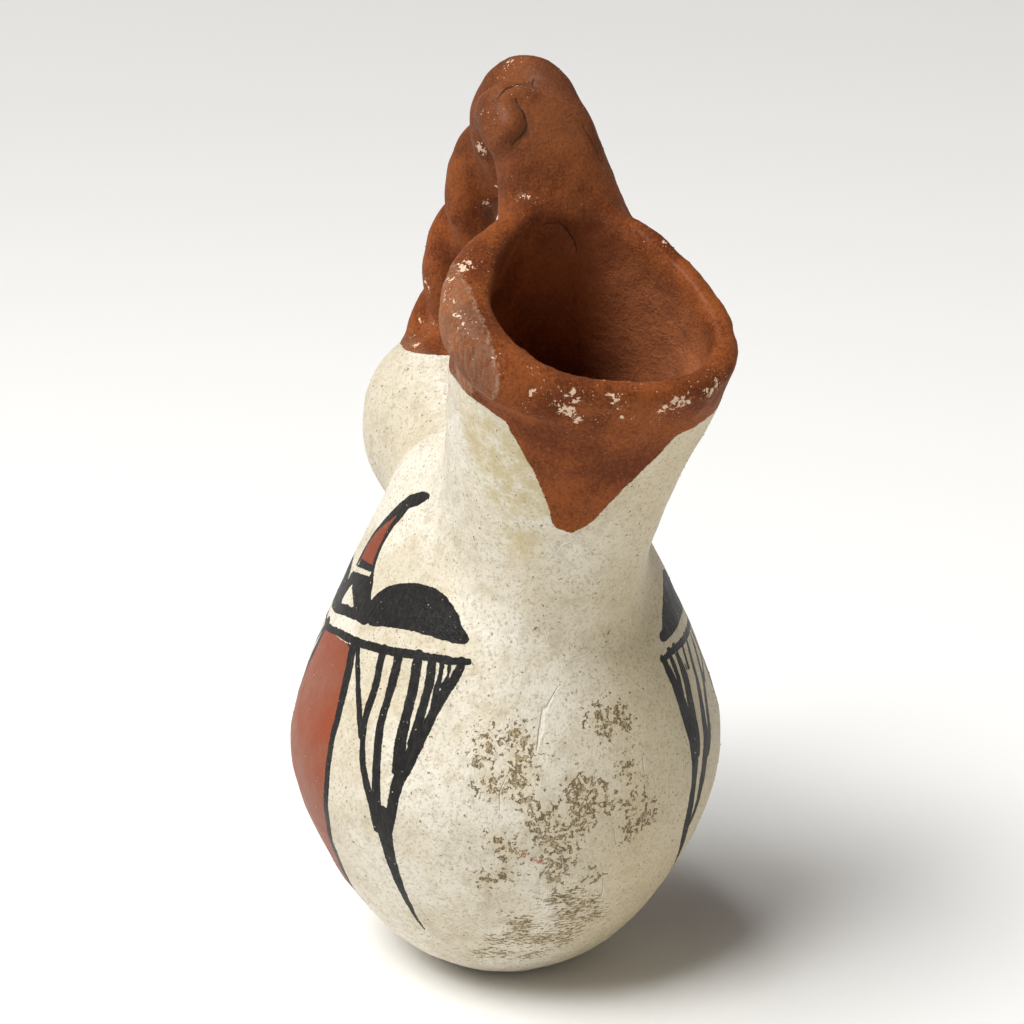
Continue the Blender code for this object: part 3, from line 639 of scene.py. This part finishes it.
# Grey-brown of the painted shade in the hollows
HOLLOW_SHADE_GREY = (112, 84, 64)
# Pale grey of the painted reflection and sheen on the left
REFLECTION_GREY = (176, 148, 122)
# Pale orange of the painted light inside the mouth
MOUTH_PAINTED_LIGHT = (190, 118, 78)
HANDLE_TOP_BROWN = (92, 58, 38)


def sight(colour):
    """A colour seen on the pot, 0 to 255 a channel, as the light it sends back."""
    seen = [channel / 255 for channel in colour]
    return tuple(c / 12.92 if c <= 0.04045 else ((c + 0.055) / 1.055) ** 2.4 for c in seen) + (1,)


def empty_material(name):
    """A material with no shader yet, its tree, and the pot's own coordinates in millimetres."""
    material = bpy.data.materials.new(name)
    material.use_nodes = True
    tree = material.node_tree
    tree.nodes.clear()
    place = tree.nodes.new("ShaderNodeTexCoord")
    scaled = tree.nodes.new("ShaderNodeVectorMath")
    scaled.operation = "SCALE"
    scaled.inputs["Scale"].default_value = 1000
    tree.links.new(place.outputs["Object"], scaled.inputs[0])
    return material, tree, scaled.outputs[0]


slipped_clay, wires, in_mm = empty_material("slipped_clay_fired")


def plug(socket, value):
    if isinstance(value, bpy.types.NodeSocket):
        wires.links.new(value, socket)
    else:
        socket.default_value = value


def worked(operation, a, b=0.0, c=0.0, clamp=False):
    step = wires.nodes.new("ShaderNodeMath")
    step.operation = operation
    step.use_clamp = clamp
    for socket, value in zip(step.inputs, (a, b, c)):
        plug(socket, value)
    return step.outputs[0]


def plus(a, b):
    return worked("ADD", a, b)


def less(a, b):
    return worked("SUBTRACT", a, b)


def times(a, b):
    return worked("MULTIPLY", a, b)


def scaled_up(value, by, least):
    """A value times one number plus another, so that 0 gives the least."""
    return worked("MULTIPLY_ADD", value, by, least)


def faded(value, low, high):
    """0 below low, 1 above high and a soft step between them; low may be the larger."""
    step = wires.nodes.new("ShaderNodeMapRange")
    step.interpolation_type = "SMOOTHSTEP"
    plug(step.inputs["Value"], value)
    plug(step.inputs["From Min"], low)
    plug(step.inputs["From Max"], high)
    return step.outputs["Result"]


def mixed(share, a, b):
    step = wires.nodes.new("ShaderNodeMix")
    step.data_type = "RGBA"
    plug(step.inputs["Factor"], share)
    for name, colour in (("A", a), ("B", b)):
        plug(step.inputs[name], colour if isinstance(colour, bpy.types.NodeSocket) else sight(colour))
    return step.outputs["Result"]


def layered(base, *layers):
    """Lays colours over a base, one after another; each is a share, its strength and the colour."""
    for share, strength, colour in layers:
        base = mixed(times(share, strength), base, colour)
    return base


def any_of(*shares):
    total = shares[0]
    for share in shares[1:]:
        total = worked("MAXIMUM", total, share)
    return total


def split(vector):
    step = wires.nodes.new("ShaderNodeSeparateXYZ")
    plug(step.inputs[0], vector)
    return step.outputs


def spread(stretch=(1, 1, 1), turn=(0, 0, 0), shift=(0, 0, 0)):
    step = wires.nodes.new("ShaderNodeMapping")
    for name, value in (("Vector", in_mm), ("Location", shift), ("Rotation", turn), ("Scale", stretch)):
        plug(step.inputs[name], value)
    return step.outputs[0]


def cloudy(per_mm, detail, rough=0.5, where=None):
    step = wires.nodes.new("ShaderNodeTexNoise")
    for name, value in (("Vector", where or in_mm), ("Scale", per_mm), ("Detail", detail),
                        ("Roughness", rough)):
        plug(step.inputs[name], value)
    return step.outputs["Fac"]


def dotted(per_mm, least, most, where=None):
    """Round specks, one to a cell at most, whose sizes differ; 1 inside a speck."""
    step = wires.nodes.new("ShaderNodeTexVoronoi")
    plug(step.inputs["Vector"], where or in_mm)
    plug(step.inputs["Scale"], per_mm)
    chance = wires.nodes.new("ShaderNodeSeparateColor")
    plug(chance.inputs[0], step.outputs["Color"])
    size = scaled_up(worked("POWER", chance.outputs[0], 3.0), most - least, least)
    return faded(less(size, step.outputs["Distance"]), 0.0, times(size, 0.55))


def stored(name, vector=False):
    step = wires.nodes.new("ShaderNodeAttribute")
    step.attribute_name = name
    return step.outputs["Vector" if vector else "Fac"]


def stroke_depth(name, reach=0.29):
    """How deep inside a stored stroke this place lies, in millimetres; below 0 outside it."""
    side, half_width, gap = split(stored(name, vector=True))
    return less(half_width, worked("MAXIMUM", worked("ABSOLUTE", side), less(gap, reach)))


def fired_surface(colour, rough, height, strength=1.0):
    """Ends the tree with a shader and a bump from heights in millimetres, and returns the shader."""
    raised = wires.nodes.new("ShaderNodeBump")
    shader = wires.nodes.new("ShaderNodeBsdfPrincipled")
    surface = wires.nodes.new("ShaderNodeOutputMaterial")
    for step, name, value in ((raised, "Distance", 0.001), (raised, "Strength", strength),
                              (raised, "Height", height), (shader, "Base Color", colour),
                              (shader, "Roughness", rough), (shader, "Normal", raised.outputs[0]),
                              (surface, "Surface", shader.outputs[0])):
        plug(step.inputs[name], value)
    return shader


across, lengthwise, upward = split(in_mm)

# Edges wander as a brush does, by about a tenth of a millimetre
wander = plus(times(less(cloudy(0.55, 2), 0.5), 0.42), times(less(cloudy(2.6, 1), 0.5), 0.22))


def edged(depth, soft=0.06):
    """1 inside a painted shape and 0 outside it, with the brush's wandering edge between."""
    return faded(plus(depth, wander), -soft, soft)


low_down = faded(upward, 30.0, 22.0)
raw = stored("raw_clay")
red_slip = faded(plus(stored("slip_edge"), times(wander, 1.6)), -0.07, 0.07)
strokes_here = any_of(stored("area_black"), *[stroke_depth("stroke_" + channel) for channel in "abcd"])
kept = times(less(1.0, edged(stored("area_bare"))), less(1.0, edged(stroke_depth("stroke_w"), 0.05)))
dry_brush = faded(cloudy(3.4, 2, 0.7), 0.74, 0.8)
black = times(times(edged(strokes_here, 0.055), kept), less(1.0, times(dry_brush, 0.5)))
black = any_of(black, edged(stored("eye")))
red_paint = edged(stored("area_red"))

# White slip: clouds, a warm ageing, painted shade that darkens and warms the right front, fine grain, dark
# specks of temper and short pale scuffs
cloud = faded(cloudy(0.045, 3, 0.55), 0.35, 0.65)
mottle = cloudy(0.42, 3, 0.6)
brush_marks = cloudy(1.0, 2, 0.6, spread((1.9, 1.9, 0.3), (0.6, 0.3, 0.0)))
red_cloud = faded(cloudy(0.11, 3, 0.6), 0.33, 0.68)
grain = cloudy(2.2, 2, 0.65)
aged = faded(cloudy(0.07, 3, 0.6, spread(shift=(31, 7, 12))), 0.48, 0.75)
# Painted shade: 1 on the right front, the side away from the light
painted_shade_right_front = times(faded(across, -8.0, 12.0), faded(lengthwise, 22.0, -12.0))
fine_grain = faded(cloudy(1.7, 3, 0.72, spread(shift=(3, 9, 4))), 0.48, 0.7)
specks = times(dotted(1.15, 0.02, 0.24), scaled_up(red_cloud, 0.6, 0.4))
scuffs = any_of(*[faded(cloudy(1.0, 1, 0.5, spread(*drawn_out)), 0.7, 0.75) for drawn_out in
                  (((2.2, 2.2, 0.2), (0.5, 0.2, 0.1)), ((2.4, 2.4, 0.18), (-0.9, 1.2, 0.0), (2, 14, 6)))])
white = mixed(faded(plus(times(cloud, 0.55), times(mottle, 0.8)), 0.3, 1.1), *WHITE_SLIP)
# The warm ageing at random, and the painted shade on the right front in the same colour
white = mixed(any_of(times(aged, 0.4), times(painted_shade_right_front, 0.7)), white, WHITE_AGED_AND_SHADED)
white = mixed(any_of(times(fine_grain, 0.62), times(faded(mottle, 0.5, 0.75), 0.28)), white, GRAIN_SHADE)
white = layered(white, (specks, 0.85, SPECK_DARK), (scuffs, 0.45, WHITE_SLIP[0]))

# Worn places: small islands where the white is gone, tan inside and dark round their edges, which
# near the foot are drawn out sideways; then the yellow stain and the red smear
worn = stored("worn")
level = plus(times(low_down, cloudy(1.2, 3, 0.64, spread((0.75, 0.75, 2.3)))),
             times(less(1.0, low_down), cloudy(1.08, 4, 0.63)))
islands = plus(level, times(worn, scaled_up(low_down, 0.03, 0.157)))
islands = less(islands, times(faded(worn, 0.2, 0.0), 0.03))
bald = faded(islands, 0.64, 0.652)
bald_rim = times(bald, any_of(faded(islands, 0.71, 0.675), times(faded(brush_marks, 0.5, 0.56), 0.8)))
stain = times(faded(stored("stain"), 0.12, 0.9), faded(mottle, 0.25, 0.62))
smear = faded(plus(stored("smear"), less(grain, 0.5)), 0.42, 0.66)
white = layered(white, (faded(worn, 0.2, 0.9), 0.4, WHITE_AGED_AND_SHADED), (bald, 0.8, WORN_TAN),
                (bald_rim, 0.85, WORN_EDGE), (stain, scaled_up(brush_marks, 0.5, 0.37), STAIN_YELLOW),
                (smear, 0.8, SMEAR_RED))

# Red-brown slip: grain, brush marks, pale temper, pits, painted light on the mouth's right inner wall, a
# darker handle top, a painted grey reflection with a crisp edge on the rim's left and a painted sheen on the
# far strand
red_tone = plus(times(grain, 0.75), times(red_cloud, 0.3))
red = mixed(faded(scaled_up(brush_marks, 0.35, red_tone), 0.45, 0.95), *RED_SLIP)
pale_dots = times(dotted(0.9, 0.0, 0.14, spread(shift=(2, 8, 5))), red_cloud)
pits = dotted(0.85, 0.0, 0.22, spread(shift=(12, 1, 9)))
# Darker brown towards the handle's top
handle_top_darkened = times(faded(upward, 128.0, 147.0), faded(lengthwise, -24.0, -15.0))
streaks = faded(brush_marks, 0.3, 0.68)
# Painted reflection: a pale grey band with a crisp edge down the rim's left, and a painted sheen on the far
# strand
reflection_bound = plus(across, times(wander, 3.0))
painted_reflection = times(faded(reflection_bound, -19.4, -20.2), scaled_up(streaks, 0.75, 0.25))
reflection_edge = times(faded(worked("ABSOLUTE", plus(reflection_bound, 19.8)), 0.5, 0.05), streaks)
handle_sheen = times(times(faded(across, -3.0, -6.5), faded(lengthwise, 0.0, 6.0)), streaks)
# Painted light on the mouth's right inner wall in pale orange
red = layered(red, (pale_dots, 0.5, CHIP_WHITE), (pits, 0.6, PIT_DARK),
              (stored("mouth_light"), 0.42, MOUTH_PAINTED_LIGHT), (handle_top_darkened, 0.4, HANDLE_TOP_BROWN),
              (handle_sheen, 0.3, REFLECTION_GREY))
# The painted reflection and its crisp edge laid over the red-brown slip in pale grey
red = mixed(plus(times(painted_reflection, 0.26), times(reflection_edge, 0.4)), red, REFLECTION_GREY)

# The painting lies on the white, the red-brown slip over both, and the marks of use with painted shade in
# the hollows and along the handle's creases over all
leaf = mixed(scaled_up(grain, 0.6, times(red_cloud, 0.45)), *RED_PAINT)
# Painted reflection in pale grey over the far left of the leaf
leaf = layered(leaf, (times(faded(across, -27.0, -34.0), red_cloud), 0.16, REFLECTION_GREY))
ink = mixed(faded(brush_marks, 0.4, 0.72), *BLACK_PAINT)
clay = mixed(faded(mottle, 0.3, 0.7), *BARE_CLAY)
chip_depth = stored("chip")
ragged = plus(chip_depth, times(less(cloudy(1.15, 3, 0.7), 0.5), 3.3))
chipped = times(faded(ragged, 0.62, 0.72), faded(chip_depth, -0.55, -0.3))
crumbs = times(dotted(2.1, 0.02, 0.3, spread(shift=(7, 7, 2))), faded(chip_depth, -2.6, 0.2))
cut = faded(stroke_depth("scratch", 0.84), -0.14, 0.14)
# A dark line along each crease path: a real crack in the mouth, painted shade along the handle's creases
crack_and_crease_shade = faded(stroke_depth("crack_and_crease_shade", 0.84), -0.06, 0.06)
# Painted shade: grey-brown darkening in the hollows, such as between the handle's strands
hollow_shade = times(faded(stored("hollow"), 0.05, 0.55), faded(mottle, 0.2, 0.7))
coloured = mixed(red_slip, mixed(black, mixed(red_paint, white, leaf), ink), red)
coloured = layered(coloured, (any_of(chipped, crumbs), 0.9, CHIP_WHITE), (cut, 0.7, CUT_WHITE),
                   (crack_and_crease_shade, 0.8, CRACK_SHADE), (hollow_shade, 0.5, HOLLOW_SHADE_GREY))
coloured = mixed(raw, coloured, clay)

# Roughness: rubbed white, duller red, dull where worn
rough = plus(scaled_up(mottle, 0.25, 0.4), times(plus(bald, times(specks, 0.5)), 0.25))
rough = plus(rough, times(red_slip, scaled_up(grain, 0.2, 0.3)))
rough = worked("ADD", rough, times(plus(chipped, raw), 0.3), clamp=True)

# Heights in millimetres for the bump: the clay's own unevenness and grain, brush marks and crumbs in
# the red-brown slip and its thickness, less scuffs, worn places, chips, scratches and cracks
slip_laid = faded(stored("slip_edge"), -0.15, 0.15)
crumbly = scaled_up(stored("mouth_light"), 0.4, times(slip_laid, 0.16))
height = times(cloudy(1.1, 3, 0.6), 0.12)
for rise, share in ((grain, scaled_up(slip_laid, 0.03, 0.1)), (times(brush_marks, slip_laid), 0.06),
                    (cloudy(0.62, 4, 0.68, spread(shift=(4, 11, 2))), crumbly)):
    height = plus(height, times(rise, share))
for mark, deep in ((scuffs, 0.05), (bald, 0.07), (chipped, 0.1), (any_of(cut, crack_and_crease_shade), 0.3)):
    height = less(height, times(mark, deep))
height = plus(height, times(slip_laid, 0.025))

fired = fired_surface(coloured, rough, height, strength=0.8)
fired.inputs["Coat Weight"].default_value = 0.07
fired.inputs["Coat Roughness"].default_value = 0.22
fired.inputs["Specular IOR Level"].default_value = 0.22

pot.data.materials.clear()
pot.data.materials.append(slipped_clay)
pot.data.shade_smooth()
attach(pot, "root")
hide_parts("bird_effigy_pot")


# The temper: crushed rock and old potsherds kneaded into the clay. Some grains stand in the surface
# like fine sand, half sunk, dark in the white slip and pale in the red.
GRAINS_PER_CM2 = 9.0
GRAIN_SMALLEST = 0.00006
GRAIN_LARGEST = 0.00017
GRAIN_SUNK = 0.35
GRAIN_SEED = 11
GRAIN_ON_WHITE = ((120, 104, 80), (186, 172, 144))
GRAIN_ON_RED = ((112, 58, 36), (150, 96, 68))

temper_grain, wires, in_mm = empty_material("temper_grain")
odd = cloudy(0.9, 1)
in_white = mixed(faded(odd, 0.35, 0.65), *GRAIN_ON_WHITE)
in_red = mixed(faded(odd, 0.45, 0.7), *GRAIN_ON_RED)
fired_surface(mixed(faded(stored("slip_edge"), -0.2, 0.2), in_white, in_red), scaled_up(odd, 0.3, 0.4),
              times(cloudy(9, 2), 0.02))

scatter = bpy.data.node_groups.new("temper_in_the_slip", "GeometryNodeTree")
inputs = {}
for name, kind in (("Clay", "Geometry"), ("Grains per square metre", "Float"), ("Smallest grain", "Float"),
                   ("Largest grain", "Float"), ("Share sunk", "Float"), ("Seed", "Int")):
    inputs[name] = scatter.interface.new_socket(name, in_out="INPUT", socket_type="NodeSocket" + kind)
scatter.interface.new_socket("Temper", in_out="OUTPUT", socket_type="NodeSocketGeometry")
given = scatter.nodes.new("NodeGroupInput")
gained = scatter.nodes.new("NodeGroupOutput")


def laid(kind, plugs=(), **settings):
    """One node of the temper's tree, with its settings and what is plugged into it."""
    step = scatter.nodes.new(kind)
    for name, value in settings.items():
        setattr(step, name, value)
    for socket, value in plugs:
        if isinstance(value, bpy.types.NodeSocket):
            scatter.links.new(value, step.inputs[socket])
        else:
            step.inputs[socket].default_value = value
    return step


inside_mark = laid("GeometryNodeInputNamedAttribute", [("Name", "raw_clay")], data_type="FLOAT")
outer = laid("FunctionNodeCompare", [(0, inside_mark.outputs["Attribute"]), (1, 0.05)], operation="LESS_THAN")
points = laid("GeometryNodeDistributePointsOnFaces",
              [("Mesh", given.outputs["Clay"]), ("Selection", outer.outputs[0]),
               ("Density", given.outputs["Grains per square metre"]), ("Seed", given.outputs["Seed"])])
sunk_by = laid("ShaderNodeMath", [(0, given.outputs["Share sunk"]), (1, given.outputs["Smallest grain"])],
               operation="MULTIPLY")
inward = laid("ShaderNodeVectorMath", [(0, points.outputs["Normal"])], operation="SCALE")
scatter.links.new(sunk_by.outputs[0], inward.inputs["Scale"])
away = laid("ShaderNodeVectorMath", [(0, inward.outputs[0])], operation="SCALE")
away.inputs["Scale"].default_value = -1
seated = laid("GeometryNodeSetPosition",
              [("Geometry", points.outputs["Points"]), ("Offset", away.outputs[0])])
grain_form = laid("GeometryNodeMeshIcoSphere", [("Radius", 1.0), ("Subdivisions", 1)])
sizes = laid("FunctionNodeRandomValue", [("Seed", given.outputs["Seed"])], data_type="FLOAT_VECTOR")
low = laid("ShaderNodeCombineXYZ", [(k, given.outputs["Smallest grain"]) for k in range(3)])
high = laid("ShaderNodeCombineXYZ", [(k, given.outputs["Largest grain"]) for k in range(3)])
scatter.links.new(low.outputs[0], sizes.inputs[0])
scatter.links.new(high.outputs[0], sizes.inputs[1])
turns = laid("FunctionNodeRandomValue", [("Seed", 3), (1, (6.28, 6.28, 6.28))], data_type="FLOAT_VECTOR")
grains = laid("GeometryNodeInstanceOnPoints",
              [("Points", seated.outputs[0]), ("Instance", grain_form.outputs["Mesh"]),
               ("Rotation", turns.outputs[0]), ("Scale", sizes.outputs[0])])
real = laid("GeometryNodeRealizeInstances", [("Geometry", grains.outputs[0])])
smooth = laid("GeometryNodeSetShadeSmooth", [("Geometry", real.outputs[0])])
finished = laid("GeometryNodeSetMaterial", [("Geometry", smooth.outputs[0])])
finished.inputs["Material"].default_value = temper_grain
scatter.links.new(finished.outputs[0], gained.inputs[0])

temper = bpy.data.objects.new("temper_grains", pot.data.copy())
bpy.context.scene.collection.objects.link(temper)
setting = temper.modifiers.new("temper", "NODES")
setting.node_group = scatter
for name, value in (("Grains per square metre", GRAINS_PER_CM2 * 1e4), ("Smallest grain", GRAIN_SMALLEST),
                    ("Largest grain", GRAIN_LARGEST), ("Share sunk", GRAIN_SUNK), ("Seed", GRAIN_SEED)):
    setting[inputs[name].identifier] = value
temper.data = evaluated_mesh(temper)
temper.modifiers.clear()
temper.data.materials.clear()
temper.data.materials.append(temper_grain)
for spare in [layer.name for layer in temper.data.attributes if not layer.is_required
              and not layer.is_internal and layer.name not in ("slip_edge", "sharp_face")]:
    temper.data.attributes.remove(temper.data.attributes[spare])
print("temper:", len(temper.data.polygons), "faces")
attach(temper, "root")


# The stage: a wide floor of pale paper swept up all round at its rim, a big window-like panel to the
# left and a little behind, a soft lamp above the camera's left shoulder, and pale air all round.
FLOOR_REACH = 5.0
SWEEP_RADIUS = 1.6
SWEEP_SIDES = 72
SWEEP_STEPS = 10
SWEEP_TURN = 86
FLAT_SHARE = 0.8
FLOOR_PAPER = (248, 247, 244)

paper_mesh = bpy.data.meshes.new("paper_floor")
rings = [(FLOOR_REACH * FLAT_SHARE, 0.0)]
rings += [(FLOOR_REACH + SWEEP_RADIUS * math.sin(t), SWEEP_RADIUS * (1 - math.cos(t)))
          for t in np.linspace(0, math.radians(SWEEP_TURN), SWEEP_STEPS - 1)]
corners = [(reach * math.cos(turn), reach * math.sin(turn), rise) for reach, rise in rings
           for turn in np.linspace(0, 2 * math.pi, SWEEP_SIDES, endpoint=False)]
bands = []
for inner in range(0, (SWEEP_STEPS - 1) * SWEEP_SIDES, SWEEP_SIDES):
    outer_ring = inner + SWEEP_SIDES
    for i in range(SWEEP_SIDES):
        after = (i + 1) % SWEEP_SIDES
        bands.append((inner + i, outer_ring + i, outer_ring + after, inner + after))
paper_mesh.from_pydata(corners, [], [tuple(range(SWEEP_SIDES))] + bands)
paper_mesh.shade_smooth()
paper_floor = bpy.data.objects.new("paper_floor", paper_mesh)
bpy.context.scene.collection.objects.link(paper_floor)
paper = bpy.data.materials.new("pale_paper")
paper.use_nodes = True
for socket, value in (("Base Color", sight(FLOOR_PAPER)), ("Roughness", 0.9), ("Specular IOR Level", 0.1)):
    paper.node_tree.nodes["Principled BSDF"].inputs[socket].default_value = value
paper_mesh.materials.append(paper)

air = bpy.data.worlds.new("pale_air")
air.use_nodes = True
air.node_tree.nodes["Background"].inputs["Color"].default_value = (1.0, 0.985, 0.96, 1)
air.node_tree.nodes["Background"].inputs["Strength"].default_value = 0.1
bpy.context.scene.world = air


def lamp(name, bearing, elevation, distance, width, tall, power, aim=(0, 0, 0.08)):
    """A soft panel; the bearing is the angle from the spout's side towards -X."""
    light = bpy.data.lights.new(name, "AREA")
    light.shape = "RECTANGLE"
    light.size, light.size_y = width, tall
    light.energy = power
    holder = bpy.data.objects.new(name, light)
    a, e = math.radians(bearing), math.radians(elevation)
    way = Vector((-math.sin(a) * math.cos(e), -math.cos(a) * math.cos(e), math.sin(e)))
    holder.location = way * distance + Vector(aim)
    holder.rotation_euler = (Vector(aim) - holder.location).to_track_quat("-Z", "Y").to_euler()
    bpy.context.scene.collection.objects.link(holder)


lamp("sky_panel", bearing=96, elevation=60, distance=18.0, width=15.0, tall=15.0, power=3200.0)
lamp("window_panel", bearing=66, elevation=56, distance=0.9, width=0.35, tall=0.35, power=4.6)


# The camera stands where the photographer's did, a little above the mouth and to the left of it.
CAMERA_PLACE = (-0.1311, -0.3245, 0.190)
CAMERA_AIM = (0, 0, 0.080)
CAMERA_LENS = 76.03
CAMERA_SHIFT = (0.00635, 0.00264)

view = bpy.data.cameras.new("portrait")
view.lens = CAMERA_LENS
view.shift_x, view.shift_y = CAMERA_SHIFT
view.clip_start = 0.01
camera = bpy.data.objects.new("portrait", view)
camera.location = CAMERA_PLACE
camera.rotation_euler = (Vector(CAMERA_AIM) - Vector(CAMERA_PLACE)).to_track_quat("-Z", "Y").to_euler()
bpy.context.scene.collection.objects.link(camera)
bpy.context.scene.camera = camera
bpy.context.scene.view_settings.view_transform = "Standard"
